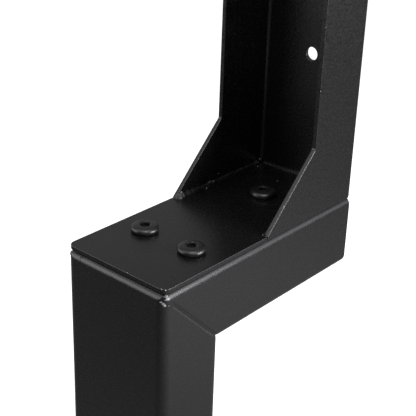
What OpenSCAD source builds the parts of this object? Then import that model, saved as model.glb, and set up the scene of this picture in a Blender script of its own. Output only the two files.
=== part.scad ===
// Fence repair bracket: a folded channel bracket screwed to a mitred and welded elbow of steel tube.
// Millimetres, +Z up, +X from the lower post towards the far end of the cross tube.
// The origin is the centre of the lower post's open end.

/* [Tube] */
// Width of both tubes, across the elbow
tube_w = 80; // [70:1:100]
// Depth of the lower post and height of the cross tube
tube_h = 50; // [44:1:60]
// Wall of the tube
tube_wall = 3; // [2:0.5:4]
// Outside radius of the tube's long corners
tube_r = 6; // [5:0.5:8]
// Height of the cross tube's top above the lower end of the post
post_h = 140; // [110:5:200]
// Length from the front of the post to the far end of the cross tube
cross_len = 182; // [170:1:220]
// Gap that the mitre weld fills
mitre_gap = 1.6; // [1:0.2:2.4]
// Radius ground on the outer edge of the mitre
mitre_r = 6; // [4:0.5:7]
// Leg of the bead in the inner corner of the mitre
mitre_bead = 3; // [2:0.5:5]

/* [Folded bracket] */
// Thickness of the folded sheet
sheet_t = 3; // [2:0.5:4]
// Inside radius of the folds
bend_r = 3; // [2:0.5:5]
// Length from the front edge of the plate to the back of the web
bracket_len = 183; // [170:1:210]
// Distance of the plate's front edge behind the front of the post
plate_inset = 1; // [0:0.5:5]
// Radius of the plate's two front corners
plate_corner_r = 5; // [2:0.5:12]
// Height of the channel above the cross tube
channel_h = 150; // [120:5:220]
// Depth of the channel from the back of the web to the flange edge
flange_depth = 48; // [40:1:60]
// Reach of the flange feet from the back of the web
foot_reach = 92; // [75:1:110]
// Height of the kink where the foot meets the flange edge, above the cross tube
kink_h = 47.5; // [30:0.5:70]
// Radius of the kink
kink_r = 3; // [1:0.5:8]
// Slit between the plate's side edges and the flange feet
slit = 0.3; // [0.2:0.1:0.8]
// Leg of the weld beads between the feet and the plate
foot_bead = 3; // [2:0.5:4]
// Diameter of the hole in the web
web_hole_d = 9; // [6:0.5:14]
// Height of the web hole above the cross tube
web_hole_h = 91; // [60:1:105]

/* [Screws and nuts] */
// Nominal diameter of the screws
screw_d = 8; // [6:1:8]
// Length of the screws under the head
screw_len = 16; // [15:1:25]
// Diameter of the screw head's flange
head_d = 17.4; // [15:0.2:20]
// Diameter of the flat top of the head
head_top_d = 11.4; // [9.6:0.2:13]
// Height of the head
head_h = 4.5; // [4:0.1:6]
// Height of the upright rim of the head
head_rim = 1.8; // [1:0.1:2.5]
// Bevel under and over the rim of the head
rim_bevel = 0.3; // [0.1:0.1:0.5]
// Width of the hexagon socket across its flats
hex_af = 6; // [4:0.5:6.5]
// Depth of the hexagon socket
hex_deep = 2.6; // [2:0.1:3.2]
// Width of the bevel round the socket's mouth
hex_bevel = 0.35; // [0.2:0.05:0.5]
// Length of the bevel at the tip of the screw
tip_bevel = 1; // [0.5:0.1:1.2]
// Distance of the front screws behind the plate's front edge
front_screw_x = 44.5; // [38:0.5:60]
// Distance between the two front screws
screw_pair = 38.5; // [30:0.5:44]
// Distance of the rear screw from the back of the web
rear_screw_x = 46.5; // [35:0.5:70]
// Room round the screw in the plate's holes, all round
screw_room = 0.5; // [0.3:0.1:1]
// Width of the weld nuts across their flats
nut_af = 14; // [13:0.5:17]
// Height of the weld nuts
nut_h = 6.5; // [5:0.5:8]
// Diameter of the collar that centres a nut in the tube wall
nut_collar_d = 10.5; // [10:0.5:12]
// Height of that collar
nut_collar_h = 2; // [1:0.5:2]
// Room round the collar in the tube wall, all round
collar_room = 0.15; // [0.1:0.05:0.3]
// Room between a screw and its nut, all round
thread_room = 0.1; // [0.05:0.05:0.2]

/* [Hidden] */
$fn = 64;
far = 500;
lap = 1;
coat = [0.17, 0.17, 0.18];
zinc = [0.45, 0.45, 0.47];

// Places along the bracket
front_x = -tube_h / 2;
plate_x = front_x + plate_inset;
back_x = plate_x + bracket_len;
bend_out = bend_r + sheet_t;
bend_x = back_x - bend_out;
edge_x = back_x - flange_depth;
foot_x = back_x - foot_reach;
half_w = tube_w / 2;
inner_w = half_w - sheet_t;
web_half = half_w - bend_out;
screw_places = [
    [plate_x + front_screw_x, -screw_pair / 2],
    [plate_x + front_screw_x, screw_pair / 2],
    [back_x - rear_screw_x, 0]
];

// Lifts what is drawn from the top of the cross tube
module on_cross() {
    translate([0, 0, post_h]) children();
}

// Turns a drawing of X and height into a wall of the given width, centred on Y
module across(width) {
    rotate([90, 0, 0]) linear_extrude(width, center = true) children();
}

// Rectangle with round corners
module round_rect(size, r) {
    square([size.x - 2 * r, size.y], center = true);
    square([size.x, size.y - 2 * r], center = true);
    for (sx = [-1, 1], sy = [-1, 1])
        translate([sx * (size.x / 2 - r), sy * (size.y / 2 - r)]) circle(r);
}

// Section of the tube, seen along its length
module tube_section() {
    difference() {
        round_rect([tube_h, tube_w], tube_r);
        round_rect([tube_h - 2 * tube_wall, tube_w - 2 * tube_wall], tube_r - tube_wall);
    }
}

// Tube that stands on the lower end and runs up past the mitre
module upright() {
    linear_extrude(post_h + far / 10) tube_section();
}

// Tube that lies under the bracket, from before the mitre to its far end
module level() {
    start = front_x - far / 10;
    translate([start, 0, post_h - tube_h / 2]) rotate([0, 90, 0])
        linear_extrude(front_x + cross_len - start) tube_section();
}

// All space on the post's side of the mitre plane, held back by the given distance
module post_side(back) {
    on_cross() translate([front_x, 0, 0]) rotate([0, -45, 0])
        translate([-back, 0, 0]) mirror([1, 0, 0]) translate([0, -far / 2, -far / 2]) cube(far);
}

// All space on the cross tube's side of the mitre plane, held back by the given distance
module cross_side(back) {
    on_cross() translate([front_x, 0, 0]) rotate([0, -45, 0])
        translate([back, 0, 0]) translate([0, -far / 2, -far / 2]) cube(far);
}

// Outline of the elbow from the side, with the ground outer edge
module elbow_outline() {
    across(2 * tube_w) {
        translate([front_x + mitre_r, 0]) square([cross_len, post_h]);
        translate([front_x, 0]) square([cross_len, post_h - mitre_r]);
        translate([front_x + mitre_r, post_h - mitre_r]) circle(mitre_r);
    }
}

// Lower post with its mitred top
module post_tube() {
    color(coat) intersection() {
        upright();
        post_side(mitre_gap / 2);
        elbow_outline();
    }
}

// Cross tube with its mitred end and the holes for the nuts' collars
module cross_tube() {
    color(coat) difference() {
        intersection() {
            level();
            cross_side(mitre_gap / 2);
            elbow_outline();
        }
        for (place = screw_places)
            translate([place.x, place.y, post_h - tube_wall - lap])
                cylinder(d = nut_collar_d + 2 * collar_room, h = tube_wall + 2 * lap);
    }
}

// Weld that fills the mitre all round, ground flush outside, with a bead in the inner corner
module mitre_weld() {
    inner_x = front_x + tube_h;
    inner_z = -tube_h;
    color(coat) {
        intersection() {
            upright();
            post_side(0);
            cross_side(-mitre_gap / 2);
            elbow_outline();
        }
        intersection() {
            level();
            cross_side(0);
            post_side(-mitre_gap / 2);
            elbow_outline();
        }
        on_cross() across(tube_w - 2 * tube_r)
            polygon([[inner_x, inner_z], [inner_x + mitre_bead, inner_z], [inner_x, inner_z - mitre_bead]]);
    }
}

// Plan of the flat plate: full width in front, drawn in between the feet
module plate_plan() {
    difference() {
        union() {
            translate([plate_x, -half_w + plate_corner_r])
                square([foot_x - slit - plate_x, tube_w - 2 * plate_corner_r]);
            translate([plate_x + plate_corner_r, -half_w])
                square([foot_x - slit - plate_x - plate_corner_r, tube_w]);
            for (side = [-1, 1])
                translate([plate_x + plate_corner_r, side * (half_w - plate_corner_r)]) circle(plate_corner_r);
            translate([foot_x - slit - lap, slit - inner_w])
                square([bend_x - foot_x + slit + lap, 2 * (inner_w - slit)]);
        }
        for (place = screw_places)
            translate(place) circle(d = screw_d + 2 * screw_room);
    }
}

// Quarter ring of the folds, from straight down round to straight ahead
module fold_section() {
    intersection() {
        difference() {
            circle(bend_out);
            circle(bend_r);
        }
        translate([0, -bend_out]) square(bend_out);
    }
}

// Plan of the upright channel: web, two folds and two flanges with their feet
module channel_plan() {
    translate([back_x - sheet_t, -web_half]) square([sheet_t, 2 * web_half]);
    for (side = [0, 1]) mirror([0, side, 0]) {
        translate([bend_x, -web_half]) fold_section();
        translate([foot_x, -half_w]) square([bend_x - foot_x, sheet_t]);
    }
}

// Side outline of the channel: sloping foot, rounded kink, upright edge and round lower back corner
module channel_outline() {
    slope = atan2(kink_h - sheet_t, edge_x - foot_x);
    run = kink_r * tan((90 - slope) / 2);
    across(2 * tube_w) {
        polygon([
            [foot_x, 0], [foot_x, sheet_t],
            [edge_x, kink_h], [edge_x, channel_h],
            [back_x, channel_h], [back_x, bend_out], [bend_x, 0]
        ]);
        difference() {
            polygon([
                [edge_x, kink_h + run], [edge_x + run, kink_h + run], [edge_x + run, kink_h - run],
                [edge_x - run * cos(slope), kink_h - run * sin(slope)]
            ]);
            translate([edge_x - kink_r, kink_h + run]) circle(kink_r);
        }
        translate([bend_x, bend_out]) circle(bend_out);
    }
}

// Folded bracket: plate, web and flanges in one sheet
module channel_bracket() {
    color(coat) on_cross() difference() {
        union() {
            linear_extrude(sheet_t) plate_plan();
            translate([bend_x, 0, bend_out]) across(2 * (web_half - slit)) fold_section();
            difference() {
                intersection() {
                    linear_extrude(channel_h) channel_plan();
                    channel_outline();
                }
                translate([bend_x, -web_half, -lap]) cube([2 * bend_out, 2 * web_half, bend_out + lap]);
            }
        }
        translate([back_x - bend_out, 0, web_hole_h]) rotate([0, 90, 0])
            cylinder(d = web_hole_d, h = 2 * bend_out);
    }
}

// Beads in the inner corners between the feet and the plate, each closed by a blob at the tip
module foot_welds() {
    color(coat) on_cross() for (side = [0, 1]) mirror([0, side, 0]) {
        intersection() {
            translate([foot_x, -inner_w, sheet_t]) rotate([0, 90, 0]) cylinder(r = foot_bead, h = bend_x - foot_x);
            translate([foot_x, -inner_w, sheet_t]) cube([bend_x - foot_x, foot_bead, foot_bead]);
        }
        intersection() {
            translate([foot_x, -inner_w, sheet_t]) sphere(foot_bead);
            translate([foot_x - foot_bead, -inner_w - sheet_t, sheet_t]) cube([foot_bead, sheet_t + foot_bead, foot_bead]);
        }
    }
}

// Half section of a screw, seated at Z = 0, with its axis on X = 0
module screw_section() {
    polygon([
        [0, head_h], [head_top_d / 2, head_h],
        [head_d / 2 - rim_bevel, head_rim + rim_bevel], [head_d / 2, head_rim],
        [head_d / 2, rim_bevel], [head_d / 2 - rim_bevel, 0], [screw_d / 2, 0],
        [screw_d / 2, tip_bevel - screw_len], [screw_d / 2 - tip_bevel, -screw_len], [0, -screw_len]
    ]);
}

// Screw with a flanged, bevelled head and a hexagon socket
module flange_screw() {
    mouth_r = hex_af / 2 / cos(30) + hex_bevel / 2;
    difference() {
        rotate_extrude() screw_section();
        translate([0, 0, head_h - hex_deep])
            cylinder(d = hex_af / cos(30), h = hex_deep + lap, $fn = 6);
        translate([0, 0, head_h - mouth_r]) cylinder(r1 = 0, r2 = mouth_r + lap, h = mouth_r + lap);
    }
}

// The three screws that hold the bracket on the cross tube
module screws() {
    color(zinc) on_cross() for (place = screw_places)
        translate([place.x, place.y, sheet_t]) flange_screw();
}

// Hexagon nut with a centring collar and bevelled corners, hung under Z = 0
module weld_nut() {
    corner_r = nut_af / 2 / cos(30);
    bevel = (corner_r - nut_af / 2) * tan(30);
    difference() {
        union() {
            intersection() {
                translate([0, 0, -nut_h]) cylinder(r = corner_r, h = nut_h, $fn = 6);
                rotate_extrude() polygon([
                    [0, 0], [corner_r, 0], [corner_r, bevel - nut_h], [nut_af / 2, -nut_h], [0, -nut_h]
                ]);
            }
            cylinder(d = nut_collar_d, h = nut_collar_h);
        }
        translate([0, 0, -nut_h - lap])
            cylinder(r = screw_d / 2 + thread_room, h = nut_h + nut_collar_h + 2 * lap);
    }
}

// The three nuts welded inside the top wall of the cross tube
module weld_nuts() {
    color(zinc) on_cross() for (place = screw_places)
        translate([place.x, place.y, -tube_wall]) weld_nut();
}

post_tube();
cross_tube();
mitre_weld();
channel_bracket();
foot_welds();
screws();
weld_nuts();
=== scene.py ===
"""Looks of the fence repair bracket.

A folded channel bracket stands on a welded elbow of steel tube, all in black powder coat. Lengths are in
millimetres, in the frame of the CAD part, and MM turns them into metres.
"""

import math

import bmesh
import bpy
from mathutils import Matrix, Vector, noise


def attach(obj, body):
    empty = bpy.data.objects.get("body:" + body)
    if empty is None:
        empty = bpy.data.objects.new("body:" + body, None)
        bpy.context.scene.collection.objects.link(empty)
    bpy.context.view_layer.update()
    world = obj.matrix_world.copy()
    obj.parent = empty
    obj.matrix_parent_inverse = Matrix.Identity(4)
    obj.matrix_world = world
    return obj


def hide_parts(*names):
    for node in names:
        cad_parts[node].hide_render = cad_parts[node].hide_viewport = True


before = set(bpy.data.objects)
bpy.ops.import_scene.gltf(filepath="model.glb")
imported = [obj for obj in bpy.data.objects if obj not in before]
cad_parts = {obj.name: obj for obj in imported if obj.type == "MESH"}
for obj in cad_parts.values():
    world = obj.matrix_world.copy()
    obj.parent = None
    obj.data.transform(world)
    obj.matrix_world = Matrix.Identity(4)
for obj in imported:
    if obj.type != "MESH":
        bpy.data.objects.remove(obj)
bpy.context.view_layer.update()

MM = 0.001

# Measures of the CAD part
TUBE_W, TUBE_H, TUBE_WALL, TUBE_R = 80.0, 50.0, 3.0, 6.0
TOP_Z = 140.0
AXIS_Z = TOP_Z - TUBE_H / 2
FRONT_X, END_X = -25.0, 157.0
GROUND_R = 6.0
PLATE_TOP = 143.0
FOOT_X, BEND_X, INNER_Y = 67.0, 153.0, 37.0
SCREWS = [(20.5, -19.25), (20.5, 19.25), (112.5, 0.0)]
SCREW_R, SCREW_LEN = 4.0, 16.0
HEAD_R, HEAD_H = 8.7, 4.5
HEX_AF, HEX_DEEP = 6.0, 2.6


# Meshes

# Edges that turn by more degrees than this are shaded sharp
ELBOW_SHARP, SHEET_SHARP, BEAD_SHARP, SCREW_SHARP = 40, 35, 80, 32
# How far large faces lead in the shading of the edges beside them, where 50 is even
LARGE_FACES_LEAD = 100


def add_object(name, data):
    """An object of the given mesh, camera or lamp, linked to the scene."""
    made = bpy.data.objects.new(name, data)
    bpy.context.scene.collection.objects.link(made)
    return made


def finish_mesh(name, bm, sharp):
    """Makes an object of a mesh in millimetres, shaded smooth up to the given angle."""
    bmesh.ops.recalc_face_normals(bm, faces=bm.faces)
    if bm.calc_volume(signed=True) < 0:
        bmesh.ops.reverse_faces(bm, faces=bm.faces)
    bmesh.ops.scale(bm, vec=(MM, MM, MM), verts=bm.verts)
    mesh = bpy.data.meshes.new(name)
    bm.to_mesh(mesh)
    bm.free()
    mesh.shade_smooth()
    mesh.set_sharp_from_angle(angle=math.radians(sharp))
    piece = add_object(name, mesh)
    level = piece.modifiers.new("level", "WEIGHTED_NORMAL")
    level.weight = LARGE_FACES_LEAD
    level.keep_sharp = True
    return piece


def ring_faces(bm, rings):
    """Joins closed rows of vertices by quads."""
    for a, b in zip(rings, rings[1:]):
        for i in range(len(a)):
            j = (i + 1) % len(a)
            bm.faces.new([a[i], a[j], b[j], b[i]])


def closed_tube(bm, rings):
    """Joins closed rows of vertices by quads and closes both ends."""
    ring_faces(bm, rings)
    bm.faces.new(rings[0])
    bm.faces.new(rings[-1])


def rough(point, size, seed=0.0):
    """Smooth noise from -1 to 1, whose lumps are about size millimetres across."""
    return noise.noise(Vector(point) / size + Vector((seed, 2 * seed, 3 * seed)))


def bell_curve(s, width):
    """Bell curve of height 1."""
    return math.exp(-((s / width) ** 2))


# Loose grains, each as (place, half sizes)

# Depth and size of their lumps, and how often the sphere is split
GRAIN_ROUGH, GRAIN_LUMP, GRAIN_SPLITS = 0.4, 0.8, 3


def add_grains(bm, grains, material_index=0):
    """Rounded grains, half sunk in the surface, in the given one of the piece's materials."""
    for place, half in grains:
        made = bmesh.ops.create_icosphere(bm, subdivisions=GRAIN_SPLITS, radius=1.0)
        for vert in made["verts"]:
            lump = 1 + GRAIN_ROUGH * rough(vert.co + Vector(place), GRAIN_LUMP)
            vert.co = Vector(p + h * lump * c for p, h, c in zip(place, half, vert.co))
            vert.co.x = max(FRONT_X, vert.co.x)
            vert.co.y = max(-TUBE_W / 2, min(TUBE_W / 2, vert.co.y))
            for face in vert.link_faces:
                face.material_index = material_index


# The elbow of tube, in one mesh: post, mitre and cross tube

# Its materials after the first, by number
# Number 2 is a lighter coat, a painted highlight beside the seam
ELBOW_BARE, ELBOW_SEAM_HIGHLIGHT = 1, 2
# Steps of a round corner, length of the faces between the corners, bevel of the cut ends
ARC_STEPS, FACE_STEP, CUT_BEVEL = 10, 2.0, 0.35
# Vertices closer than this become one
ELBOW_MERGE = 0.001
# Rows of faces across the mitre: how far they reach to each side, and their number
SEAM_HALF, SEAM_STEPS = 3.0, 12
# Its groove: depth and width, share and length of its waves, and where it fades towards the ground edge
SEAM_DEEP, SEAM_WIDE = 0.55, 1.1
SEAM_ROUGH, SEAM_WAVE, SEAM_FADE = 0.5, 4.0, 3.0
# Axis of the outer edge of the mitre, which is ground round
ROUND_X, ROUND_Z = FRONT_X + GROUND_R, TOP_Z - GROUND_R
# Sines and cosines below this are taken as zero
TINY = 1e-6
# Where a lighter strip on the post beside the seam paints its highlight: ranges across the seam and by x
SEAM_HIGHLIGHT_ACROSS, SEAM_HIGHLIGHT_X = (-3.0, -1.5), (-18.0, 19.0)
# Faces this near the side of the tube are flat
FLAT_ROOM = 0.1

ELBOW_GRAINS = [
    ((-21.5, -38.5, 137.9), (1.1, 1.2, 1.1)),
    ((-20.7, -38.9, 136.3), (1.2, 1.2, 1.3)),
    ((-22.0, -38.7, 136.6), (0.8, 0.9, 0.9)),
    ((-23.0, -38.7, 133.1), (0.8, 1.0, 0.9)),
    ((-23.6, -38.1, 134.0), (0.7, 1.0, 0.7)),
    ((-24.3, -37.2, 135.0), (0.45, 0.9, 0.45)),
    ((-20.4, -39.6, 132.2), (0.4, 0.35, 0.35)),
]
ELBOW_LUMPS = [
    ((-21.6, 37.2, 136.6), (2.0, 1.9, 2.0)),
    ((-20.2, 38.4, 134.2), (1.3, 1.2, 1.9)),
    ((-24.4, 28.0, 136.2), (0.35, 1.0, 0.3)),
    ((-23.9, 29.0, 137.2), (0.3, 0.45, 0.8)),
    ((-23.3, 28.2, 138.2), (0.5, 0.9, 0.3)),
]


def tube_profile(width, height, r):
    """Points of the rounded rectangle (depth u, across y), with its outward directions."""
    points = []
    hu, hy = height / 2 - r, width / 2 - r
    corners = [(hu, hy, 0), (-hu, hy, 90), (-hu, -hy, 180), (hu, -hy, 270)]
    for index, (cu, cy, start) in enumerate(corners):
        for k in range(ARC_STEPS + 1):
            a = math.radians(start + 90 * k / ARC_STEPS)
            points.append((cu + r * math.cos(a), cy + r * math.sin(a), math.cos(a), math.sin(a)))
        u0, y0, nu, ny = points[-1]
        cu, cy, start = corners[(index + 1) % len(corners)]
        a = math.radians(start)
        u1, y1 = cu + r * math.cos(a), cy + r * math.sin(a)
        count = round(math.hypot(u1 - u0, y1 - y0) / FACE_STEP)
        for k in range(1, count):
            points.append((u0 + (u1 - u0) * k / count, y0 + (y1 - y0) * k / count, nu, ny))
    return points


def ground_point(u, y, t):
    """A point of the ground edge of the mitre, for t from -1 at the post to 1 at the cross tube."""
    a = math.radians(135 - 45 * t)
    depth = ROUND_X - u
    reach = GROUND_R
    if abs(math.cos(a)) > TINY:
        reach = min(reach, depth / abs(math.cos(a)))
    if math.sin(a) > TINY:
        reach = min(reach, depth / math.sin(a))
    return ROUND_X + reach * math.cos(a), y, ROUND_Z + reach * math.sin(a)


def seam_point(u, y, ny, t, skin):
    """A point beside the mitre, for t as above. A shallow groove runs along the mitre outside."""
    s = t * SEAM_HALF
    corner_z = AXIS_Z - u
    x, z = (u, corner_z + s) if s < 0 else (u + s, corner_z)
    if skin < 0:
        return x, y, z
    deep = SEAM_DEEP * bell_curve(s, SEAM_WIDE) * (1 + SEAM_ROUGH * rough((u, y, 0), SEAM_WAVE))
    deep *= min(1.0, (u - ROUND_X) / SEAM_FADE)
    return x, y - ny * deep, z


def elbow_path(u, y, nu, ny, skin):
    """Places along the elbow of one point of the profile, from the post's end to the far end.

    The skin is 1 outside and -1 inside the tube.
    """
    inset = CUT_BEVEL * skin
    far_z = AXIS_Z - u
    path = [(u - nu * inset, y - ny * inset, 0.0), (u, y, CUT_BEVEL)]
    for k in range(SEAM_STEPS + 1):
        t = 2 * k / SEAM_STEPS - 1
        ground = skin > 0 and u < ROUND_X
        path.append(ground_point(u, y, t) if ground else seam_point(u, y, ny, t, skin))
    path += [(END_X - CUT_BEVEL, y, far_z), (END_X, y - ny * inset, far_z + nu * inset)]
    return path


def paint_seam_highlight(bm):
    """Gives a strip of the post beside the seam a lighter coat: a painted highlight along the seam."""
    for face in bm.faces:
        x, y, z = face.calc_center_median()
        beside = SEAM_HIGHLIGHT_ACROSS[0] < x + z - AXIS_Z < SEAM_HIGHLIGHT_ACROSS[1] and SEAM_HIGHLIGHT_X[0] < x < SEAM_HIGHLIGHT_X[1]
        if beside and abs(y) > TUBE_W / 2 - FLAT_ROOM:
            face.material_index = ELBOW_SEAM_HIGHLIGHT


def build_elbow():
    bm = bmesh.new()
    skins = []
    for skin, inward in ((1, 0.0), (-1, TUBE_WALL)):
        profile = tube_profile(TUBE_W - 2 * inward, TUBE_H - 2 * inward, TUBE_R - inward)
        paths = [elbow_path(*point, skin) for point in profile]
        rings = [[bm.verts.new(p) for p in row] for row in zip(*paths)]
        ring_faces(bm, rings)
        skins.append(rings)
    paint_seam_highlight(bm)
    outer, inner = skins
    for end in (0, -1):
        ring_faces(bm, [outer[end], inner[end]])
    bmesh.ops.remove_doubles(bm, verts=bm.verts, dist=ELBOW_MERGE)
    add_grains(bm, ELBOW_LUMPS)
    add_grains(bm, ELBOW_GRAINS, ELBOW_BARE)
    return finish_mesh("elbow", bm, ELBOW_SHARP)


# The folded bracket: the CAD sheet with its cut edges rounded

# Radius and steps of the rounding, and its form, which is circular at 0.5
EDGE_R, EDGE_STEPS, EDGE_FORM = 0.5, 3, 0.5
# Edges that turn by more degrees are rounded, and faces that turn by less are joined
EDGE_ANGLE, FLAT_ANGLE = 35, 0.5
# Vertices closer than this become one
SHEET_MERGE = 0.0005
# The slits beside the feet are too narrow for round edges
SLIT_ROOM, SLIT_TOP = 1.0, PLATE_TOP + 0.01


def is_rounded(edge):
    if len(edge.link_faces) != 2 or edge.calc_face_angle(0) < math.radians(EDGE_ANGLE):
        return False
    middle = (edge.verts[0].co + edge.verts[1].co) / 2
    by_slit = middle.x > FOOT_X - SLIT_ROOM and abs(abs(middle.y) - INNER_Y) < SLIT_ROOM
    return not (by_slit and middle.z < SLIT_TOP)


def build_bracket():
    bm = bmesh.new()
    bm.from_mesh(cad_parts["channel_bracket"].data)
    bmesh.ops.scale(bm, vec=(1 / MM,) * 3, verts=bm.verts)
    bmesh.ops.remove_doubles(bm, verts=bm.verts, dist=SHEET_MERGE)
    bmesh.ops.dissolve_limit(bm, angle_limit=math.radians(FLAT_ANGLE), verts=bm.verts, edges=bm.edges)
    bmesh.ops.bevel(
        bm,
        geom=[edge for edge in bm.edges if is_rounded(edge)],
        offset=EDGE_R,
        segments=EDGE_STEPS,
        profile=EDGE_FORM,
        affect="EDGES",
        clamp_overlap=False,
    )
    return finish_mesh("bracket", bm, SHEET_SHARP)


# Weld beads at the flange feet

# Their materials after the first, by number
BEAD_TIP_GREY, BEAD_BARE = 1, 2
# Both ends of a bead by x, spacing of its sections, and steps of each
BEAD_FIRST, BEAD_LAST = FOOT_X - 0.4, BEND_X - 1.0
BEAD_STEP, BEAD_ARC = 0.4, 12
# Its leg, and how deep it sits in the sheet
BEAD_THIN, BEAD_SINK = 1.5, 0.2
# A bead rises over this length, from this share
BEAD_RISE, BEAD_TIP = 1.5, 0.05
# Waves of its size along it: share, length, and how far apart in the noise the two beads are taken
SWELL_ROUGH, SWELL_WAVE, SIDES_APART = 0.35, 3.1, 7
# Waves of its surface: share, length, place in the noise
SURFACE_WAVES = [(0.16, 2.3, 4.0), (0.04, 0.9, 2.0)]
# The tip of the left bead, up to this x, is a lighter grey
TIP_GREY_X = 74.0
# Lumps: place along the bead, half length, extra size
LEFT_LUMPS = [
    (69.2, 2.5, 2.1),
    (73.5, 2.0, 0.9),
    (79.0, 2.4, 1.6),
    (83.5, 1.7, 1.1),
    (88.0, 2.2, 0.6),
    (100.5, 2.6, 0.5),
    (117.0, 5.0, 0.4),
    (137.0, 4.0, 0.4),
    (151.0, 2.0, 1.3),
]
RIGHT_LUMPS = [
    (69.0, 1.5, 0.5),
    (80.0, 5.0, 1.0),
    (97.0, 6.0, 1.2),
    (118.0, 7.0, 1.1),
    (140.0, 6.0, 1.0),
]
LEFT_GRAINS = [
    ((70.6, 35.4, 147.0), (0.7, 0.6, 0.6)),
    ((69.3, 34.4, 143.8), (1.0, 0.8, 0.6)),
    ((93.7, 33.4, 143.2), (0.6, 0.6, 0.45)),
    ((100.2, 36.4, 144.7), (0.8, 0.5, 0.55)),
    ((103.6, 35.8, 144.0), (0.7, 0.6, 0.6)),
    ((109.8, 36.9, 147.6), (0.5, 0.3, 0.5)),
    ((137.4, 7.1, 143.0), (0.5, 0.5, 0.35)),
    ((147.0, 32.3, 143.2), (0.4, 0.4, 0.35)),
    ((153.8, 35.9, 145.6), (0.6, 0.5, 0.6)),
]
RIGHT_GRAINS = [
    ((66.9, -36.3, 143.1), (0.3, 0.35, 0.35)),
    ((66.3, -38.6, 142.9), (0.25, 0.4, 0.2)),
    ((111.4, -39.8, 225.9), (0.3, 0.25, 0.4)),
    ((111.3, -39.8, 265.6), (0.25, 0.25, 0.4)),
    ((111.4, -39.8, 242.8), (0.22, 0.22, 0.28)),
    ((82.1, -39.6, 158.2), (0.45, 0.4, 0.6)),
    ((-23.4, -36.7, 142.8), (0.4, 0.7, 0.35)),
    ((-22.1, -38.6, 142.3), (0.5, 0.5, 0.5)),
    ((-23.7, -10.3, 142.8), (0.25, 0.5, 0.3)),
]


def bead_row(x, side, lumps):
    """Section of a bead at x: its arc from the flange to the plate, and the corner behind it."""
    rise = min(1.0, max(BEAD_TIP, (x - BEAD_FIRST) / BEAD_RISE)) ** 0.5
    swell = BEAD_THIN * (1 + SWELL_ROUGH * rough((x, side * SIDES_APART, 0), SWELL_WAVE))
    swell += sum(extra * bell_curve(x - at, half) for at, half, extra in lumps)
    row = []
    for k in range(BEAD_ARC + 1):
        a = math.radians(90 * k / BEAD_ARC)
        place = (x, swell * math.cos(a), swell * math.sin(a))
        waves = [share * rough(place, size, seed) for share, size, seed in SURFACE_WAVES]
        leg = swell * rise * sum(waves, 1)
        row.append((leg * math.sin(a), leg * math.cos(a)))
    row.append((0.0, 0.0))
    return [(x, side * (INNER_Y + BEAD_SINK - out), PLATE_TOP - BEAD_SINK + up) for out, up in row]


def build_bead(name, side, lumps, grains):
    """A thin, rough bead in the corner between a foot and the plate, with lumps and loose grains."""
    bm = bmesh.new()
    count = round((BEAD_LAST - BEAD_FIRST) / BEAD_STEP)
    places = [BEAD_FIRST + (BEAD_LAST - BEAD_FIRST) * i / count for i in range(count + 1)]
    closed_tube(bm, [[bm.verts.new(p) for p in bead_row(x, side, lumps)] for x in places])
    for face in bm.faces:
        if side > 0 and face.calc_center_median().x < TIP_GREY_X:
            face.material_index = BEAD_TIP_GREY
    add_grains(bm, grains, BEAD_BARE)
    return finish_mesh(name, bm, BEAD_SHARP)


# Screws

# Number of the second material, on the dome: a darker, duller copy of the screw's black, painted shade
HEAD_DOME_SHADE = 1
HEAD_SIDES, THREAD_SIDES = 96, 40
# The head's outside: the rim's round foot, the elliptic shoulder and the low dome with its rings
RIM_FOOT_R, RIM_FOOT_STEPS = 1.9, 10
SHOULDER_W, SHOULDER_H, SHOULDER_ANGLE, SHOULDER_STEPS = 2.9, 2.3, 82, 16
DOME_H, DOME_STEPS, RINGS, RING_H = 0.25, 24, 2, 0.05
# The socket: its chamfer and the end of its cone
HEX_CHAMFER, CONE_R, CONE_DEEP = 0.35, 0.6, 0.5
# The thread: pitch, depth, rows to a turn; form of its flanks, room at its crest; taper at its end
PITCH, THREAD_DEEP, THREAD_ROWS = 1.25, 0.6, 8
FLANK_STEEP, FLANK_FLAT, CREST_ROOM = 1.25, 0.12, 0.02
TAPER_LEN, TAPER_DEEP = 1.2, 0.7


def add_ring(bm, centre, z, radii):
    """A ring of vertices round the axis of a screw, at even angles."""
    ring = []
    for k, r in enumerate(radii):
        a = 2 * math.pi * k / len(radii)
        ring.append(bm.verts.new((centre[0] + r * math.cos(a), centre[1] + r * math.sin(a), z)))
    return ring


def hexagon_radii():
    """Radii of the socket's hexagon."""
    turns = [2 * math.pi * k / HEAD_SIDES for k in range(HEAD_SIDES)]
    off_flat = [(a + math.pi / 6) % (math.pi / 3) - math.pi / 6 for a in turns]
    return [HEX_AF / 2 / math.cos(a) for a in off_flat]


def arc(centre, wide, high, start, end, steps):
    """Points of an arc in the section of the head, by angles in degrees."""
    turns = [math.radians(start + (end - start) * k / steps) for k in range(steps + 1)]
    return [(centre[0] + wide * math.cos(a), centre[1] + high * math.sin(a)) for a in turns]


def head_section():
    """Radius and height of the head's outside, from the flat under it to the rim of the socket."""
    shoulder = (HEAD_R - SHOULDER_W, HEAD_H - DOME_H - SHOULDER_H)
    rows = [(SCREW_R, 0.0)]
    rows += arc((HEAD_R - RIM_FOOT_R, RIM_FOOT_R), RIM_FOOT_R, RIM_FOOT_R, -90, 0, RIM_FOOT_STEPS)
    rows += arc(shoulder, SHOULDER_W, SHOULDER_H, 0, SHOULDER_ANGLE, SHOULDER_STEPS)
    wide, low = rows[-1]
    hole = HEX_AF / 2 / math.cos(math.pi / 6) + HEX_CHAMFER
    for k in range(1, DOME_STEPS + 1):
        t = k / DOME_STEPS
        wave = RING_H * math.sin(2 * math.pi * t * RINGS)
        rows.append((wide + (hole - wide) * t, low + (HEAD_H - low) * math.sin(math.pi / 2 * t) + wave))
    return rows


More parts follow.
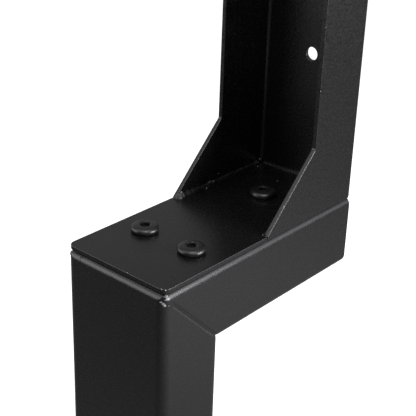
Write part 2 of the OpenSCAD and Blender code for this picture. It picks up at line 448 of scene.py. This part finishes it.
def add_head(bm, place):
    top = PLATE_TOP + HEAD_H
    rings = [add_ring(bm, place, PLATE_TOP + z, [r] * HEAD_SIDES) for r, z in head_section()]
    rings.append(add_ring(bm, place, top - HEX_CHAMFER, hexagon_radii()))
    rings.append(add_ring(bm, place, top - HEX_DEEP, hexagon_radii()))
    rings.append(add_ring(bm, place, top - HEX_DEEP - CONE_DEEP, [CONE_R] * HEAD_SIDES))
    closed_tube(bm, rings)
    for face in bm.faces:
        if face.calc_center_median().z > top - DOME_H and face.normal.z > 0:
            face.material_index = HEAD_DOME_SHADE


def thread_radius(down, turn):
    """Radius of the thread at a depth below the head, for a turn from 0 to 1."""
    crest = abs(2 * ((down / PITCH + turn) % 1) - 1)
    groove = THREAD_DEEP * min(1.0, max(0.0, FLANK_STEEP * crest - FLANK_FLAT))
    taper = 1 - min(1.0, max(0.0, (SCREW_LEN - down) / TAPER_LEN))
    return SCREW_R - CREST_ROOM - groove - taper * TAPER_DEEP


def add_thread(bm, place):
    rings = []
    rows = int(SCREW_LEN / PITCH * THREAD_ROWS)
    for i in range(rows + 1):
        down = SCREW_LEN * i / rows
        radii = [thread_radius(down, k / THREAD_SIDES) for k in range(THREAD_SIDES)]
        rings.append(add_ring(bm, place, PLATE_TOP - down, radii))
    closed_tube(bm, rings)


def build_screw(name, place):
    bm = bmesh.new()
    add_head(bm, place)
    add_thread(bm, place)
    return finish_mesh(name, bm, SCREW_SHARP)


# Node trees


def set_inputs(tree, node, inputs):
    """Gives inputs of a node, by name or number, a value or the output of another node."""
    for key, value in inputs.items():
        if isinstance(value, bpy.types.NodeSocket):
            tree.links.new(value, node.inputs[key])
        else:
            node.inputs[key].default_value = value


def add_node(tree, kind, inputs, **settings):
    node = tree.nodes.new(kind)
    for key, value in settings.items():
        setattr(node, key, value)
    set_inputs(tree, node, inputs)
    return node


def maths(tree, operation, a, b=0.0):
    return add_node(tree, "ShaderNodeMath", {0: a, 1: b}, operation=operation).outputs[0]


# Materials

# Noise in colour, roughness and bumps: size and fineness
COAT_NOISE = ((2.0, 3.0), (1.3, 1.0), (1.1, 1.0))
METAL_NOISE = ((2.5, 3.0), (1.5, 2.0), (1.2, 1.0))
# Nearly all of the noise lies between these
NOISE_LOW, NOISE_HIGH = 0.3, 0.7
# Depth of the bumps
COAT_BUMPS, WELD_BUMPS, FINE_BUMPS = 0.012, 0.02, 0.004
# How strongly a surface mirrors, as its index of refraction
COAT_IOR, DULL_IOR = 1.5, 1.25


def grey(level):
    return (level, level, level)


def add_noise(tree, place, size, fineness):
    """Noise whose grains are about size millimetres across."""
    inputs = {"Vector": place, "Scale": 1 / (size * MM), "Detail": fineness}
    return add_node(tree, "ShaderNodeTexNoise", inputs).outputs["Fac"]


def coat(name, dark, light, shine, bumps=COAT_BUMPS, ior=COAT_IOR, metallic=0.0, noises=COAT_NOISE):
    """A material between two colours and two roughnesses, with fine bumps of the given depth."""
    material = bpy.data.materials.new(name)
    material.use_nodes = True
    tree = material.node_tree
    place = tree.nodes.new("ShaderNodeTexCoord").outputs["Object"]
    by_colour, by_shine, by_bumps = (add_noise(tree, place, *values) for values in noises)
    colours = {"Factor": by_colour, 6: (*dark, 1.0), 7: (*light, 1.0)}
    colour = add_node(tree, "ShaderNodeMix", colours, data_type="RGBA")
    ranges = {"From Min": NOISE_LOW, "From Max": NOISE_HIGH, "To Min": shine[0], "To Max": shine[1]}
    roughness = add_node(tree, "ShaderNodeMapRange", {"Value": by_shine, **ranges})
    surface = add_node(tree, "ShaderNodeBump", {"Height": by_bumps, "Strength": 1.0, "Distance": bumps * MM})
    inputs = {
        "Base Color": colour.outputs[2],
        "Roughness": roughness.outputs["Result"],
        "Normal": surface.outputs["Normal"],
        "IOR": ior,
        "Metallic": metallic,
    }
    set_inputs(tree, tree.nodes["Principled BSDF"], inputs)
    return material


def metal(name, dark, light, shine, metallic):
    return coat(name, dark, light, shine, FINE_BUMPS, COAT_IOR, metallic, METAL_NOISE)


COAT = coat("black_coat_fine", grey(0.005), grey(0.009), (0.25, 0.335))
SHEET_COAT = coat("black_coat_sheet", grey(0.004), grey(0.008), (0.225, 0.365))
WELD_COAT = coat("black_coat_weld", grey(0.004), grey(0.01), (0.55, 0.7), WELD_BUMPS, DULL_IOR)
# A lighter grey for the tip of the left bead
TIP_GREY_COAT = coat("weld_tip_grey", grey(0.02), (0.07, 0.07, 0.072), (0.5, 0.65), WELD_BUMPS)
# A lighter copy of the coat: painted highlight beside the mitre seam
SEAM_HIGHLIGHT_COAT = coat("black_coat_painted_highlight", grey(0.0), grey(0.038), (0.2, 0.4))
SCREW_BLACK = coat("screw_black", grey(0.008), grey(0.012), (0.3, 0.34), FINE_BUMPS)
# The dome's darker, duller copy of the screw's black: painted shade
SCREW_DOME_SHADE = coat("screw_dome_painted_shade", grey(0.002), grey(0.005), (0.28, 0.34), FINE_BUMPS, DULL_IOR)
BARE = metal("bare_steel", grey(0.12), grey(0.38), (0.4, 0.55), 0.3)
NUT_METAL = metal("nut_zinc", grey(0.36), (0.46, 0.46, 0.47), (0.3, 0.45), 1.0)


def dress(piece, materials, slot, *nodes):
    """Gives a piece its materials and hides the CAD nodes it stands for. The slot is not used."""
    for material in materials:
        piece.data.materials.append(material)
    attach(piece, "root")
    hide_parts(*nodes)


dress(build_elbow(), (COAT, BARE, SEAM_HIGHLIGHT_COAT), "black_coat", "post_tube", "cross_tube", "mitre_weld")
dress(build_bracket(), (SHEET_COAT,), "black_coat", "channel_bracket")
BEAD_MATERIALS = (WELD_COAT, TIP_GREY_COAT, BARE)
bead_right = build_bead("foot_bead_right", -1, RIGHT_LUMPS, RIGHT_GRAINS)
dress(bead_right, BEAD_MATERIALS, "black_coat", "foot_welds")
bead_left = build_bead("foot_bead_left", 1, LEFT_LUMPS, LEFT_GRAINS)
dress(bead_left, BEAD_MATERIALS, "black_coat", "foot_welds")
for index, place in enumerate(SCREWS):
    dress(build_screw(f"screw_{index + 1}", place), (SCREW_BLACK, SCREW_DOME_SHADE), "dark_zinc", "screws")
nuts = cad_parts["weld_nuts"]
nuts.data.materials.clear()
nuts.data.materials.append(NUT_METAL)


# Camera

CAMERA_AT = (-374.62, -367.95, 426.45)
AZIMUTH, ELEVATION, ROLL = -49.785, 25.319, 2.067
FOCAL, SENSOR = 87.536, 36.0
SHIFT = (-0.0102, -0.0197)
# Nearest and farthest that it sees, in metres
CLIP = (0.01, 50.0)


def place_camera():
    az, el, roll = (math.radians(v) for v in (AZIMUTH, ELEVATION, ROLL))
    back = Vector((math.sin(az) * math.cos(el), -math.cos(az) * math.cos(el), math.sin(el)))
    level_right = Vector((math.cos(az), math.sin(az), 0.0))
    level_up = back.cross(level_right)
    right = math.cos(roll) * level_right + math.sin(roll) * level_up
    up = back.cross(right)
    data = bpy.data.cameras.new("camera")
    data.sensor_width = SENSOR
    data.sensor_fit = "HORIZONTAL"
    data.lens = FOCAL
    data.shift_x, data.shift_y = SHIFT
    data.clip_start, data.clip_end = CLIP
    camera = add_object("camera", data)
    turn = Matrix((right, up, back)).transposed().to_4x4()
    camera.matrix_world = Matrix.Translation(Vector(CAMERA_AT) * MM) @ turn
    bpy.context.scene.camera = camera


place_camera()


# Floor, world and lamps

FLOOR_HALF = 20000.0
FLOOR_WHITE, FLOOR_GLOW = 0.8, 0.75
# Pools of light that reflections see on the floor: centre, radius, level
POOLS = {
    "pool_right": ((120.0, -210.0), 210.0, 0.21),
    "pool_right_far": ((40.0, -600.0), 330.0, 1.06),
    "pool_back": ((100.0, 350.0), 220.0, 0.18),
}
GROUND_LEVEL = 0.122
# Lit parts of the backdrop that reflections see: azimuth and elevation, tightness, level
BACKDROPS = {
    "backdrop_left": ((72.0, 12.0), 12.0, 0.32),
    "backdrop_front": ((-122.0, 24.0), 16.0, 1.0),
    "backdrop_over": ((-121.0, 63.0), 16.0, 6.5),
}
ROOM_LEVEL = 0.34
WHITE, COOL = (1.0, 1.0, 1.0), (0.985, 0.985, 1.04)
# Lamps on a sphere round the part: azimuth and elevation, width and height, watts, colour
LAMPS = {
    "key_right": ((-73.0, 13.0), (500.0, 480.0), 16.0, COOL),
    "fill_right": ((-46.0, 16.0), (420.0, 520.0), 1.1, COOL),
    "key_left": ((142.0, 14.0), (700.0, 500.0), 3.2, WHITE),
    "key_left_high": ((145.0, 52.0), (700.0, 500.0), 1.5, WHITE),
    "side_left": ((112.0, 7.0), (360.0, 260.0), 0.8, WHITE),
}
LAMP_AWAY = 1000.0
LAMP_TARGET = (60.0, 0.0, 140.0)


def heading(azimuth, elevation):
    """Direction by azimuth from the x axis and by elevation, in degrees."""
    az, el = math.radians(azimuth), math.radians(elevation)
    return Vector((math.cos(az) * math.cos(el), math.sin(az) * math.cos(el), math.sin(el)))


def fading(tree, away, level):
    """Level times exp(-away)."""
    return maths(tree, "MULTIPLY", maths(tree, "EXPONENT", maths(tree, "MULTIPLY", away, -1.0)), level)


def rays(tree):
    """Whether a ray comes straight from the camera, and whether it left a mirroring or clear surface."""
    path = tree.nodes.new("ShaderNodeLightPath").outputs
    return path["Is Camera Ray"], maths(tree, "MAXIMUM", path["Is Glossy Ray"], path["Is Transmission Ray"])


def mix_shaders(tree, share, first, second):
    inputs = {0: share, 1: first.outputs[0], 2: second.outputs[0]}
    return add_node(tree, "ShaderNodeMixShader", inputs)


def build_world():
    """The camera sees white. All else sees a pale room, and reflections see its lit backdrop too."""
    world = bpy.data.worlds.new("studio")
    bpy.context.scene.world = world
    world.use_nodes = True
    tree = world.node_tree
    tree.nodes.clear()
    towards = tree.nodes.new("ShaderNodeTexCoord").outputs["Generated"]
    seen, mirrored = rays(tree)
    lit = 0.0
    for place, tight, level in BACKDROPS.values():
        sides = {0: towards, 1: heading(*place)}
        facing = add_node(tree, "ShaderNodeVectorMath", sides, operation="DOT_PRODUCT").outputs["Value"]
        away = maths(tree, "MULTIPLY", maths(tree, "SUBTRACT", 1.0, facing), tight)
        lit = maths(tree, "ADD", fading(tree, away, level), lit)
    total = maths(tree, "ADD", maths(tree, "MULTIPLY", lit, mirrored), ROOM_LEVEL)
    studio = add_node(tree, "ShaderNodeBackground", {"Strength": total})
    white = add_node(tree, "ShaderNodeBackground", {"Color": (*WHITE, 1.0), "Strength": 1.0})
    sky = mix_shaders(tree, seen, studio, white)
    add_node(tree, "ShaderNodeOutputWorld", {"Surface": sky.outputs[0]})


def floor_material():
    """White with the part's shadow to the camera, pools of light to reflections, and pale to all else."""
    material = bpy.data.materials.new("floor_white")
    material.use_nodes = True
    tree = material.node_tree
    tree.nodes.clear()
    spot = tree.nodes.new("ShaderNodeTexCoord").outputs["Object"]
    pools = 0.0
    for (x, y), radius, level in POOLS.values():
        ends = {0: spot, 1: (x * MM, y * MM, 0.0)}
        apart = add_node(tree, "ShaderNodeVectorMath", ends, operation="DISTANCE").outputs["Value"]
        away = maths(tree, "POWER", maths(tree, "DIVIDE", apart, radius * MM), 2.0)
        pools = maths(tree, "ADD", fading(tree, away, level), pools)
    pools = maths(tree, "ADD", pools, GROUND_LEVEL)
    pale = add_node(tree, "ShaderNodeBsdfDiffuse", {"Color": (*grey(FLOOR_WHITE), 1.0)})
    mirror_image = add_node(tree, "ShaderNodeEmission", {"Strength": pools})
    glow = add_node(tree, "ShaderNodeEmission", {"Strength": FLOOR_GLOW})
    white = add_node(tree, "ShaderNodeAddShader", {0: glow.outputs[0], 1: pale.outputs[0]})
    seen, mirrored = rays(tree)
    others = mix_shaders(tree, mirrored, pale, mirror_image)
    surface = mix_shaders(tree, seen, others, white)
    add_node(tree, "ShaderNodeOutputMaterial", {"Surface": surface.outputs[0]})
    return material


def build_floor():
    half = FLOOR_HALF * MM
    bm = bmesh.new()
    bm.faces.new([bm.verts.new((x * half, y * half, 0)) for x, y in ((-1, -1), (1, -1), (1, 1), (-1, 1))])
    mesh = bpy.data.meshes.new("floor")
    bm.to_mesh(mesh)
    bm.free()
    mesh.materials.append(floor_material())
    floor = add_object("floor", mesh)


def place_lamps():
    for name, (place, size, watts, colour) in LAMPS.items():
        data = bpy.data.lights.new(name, "AREA")
        data.shape = "RECTANGLE"
        data.size, data.size_y = size[0] * MM, size[1] * MM
        data.energy = watts
        data.color = colour
        lamp = add_object(name, data)
        lamp.visible_camera = False
        back = heading(*place)
        turn = (-back).to_track_quat("-Z", "Y").to_matrix().to_4x4()
        lamp.matrix_world = Matrix.Translation((Vector(LAMP_TARGET) + back * LAMP_AWAY) * MM) @ turn


build_world()
build_floor()
place_lamps()

view = bpy.context.scene.view_settings
view.view_transform = "Standard"
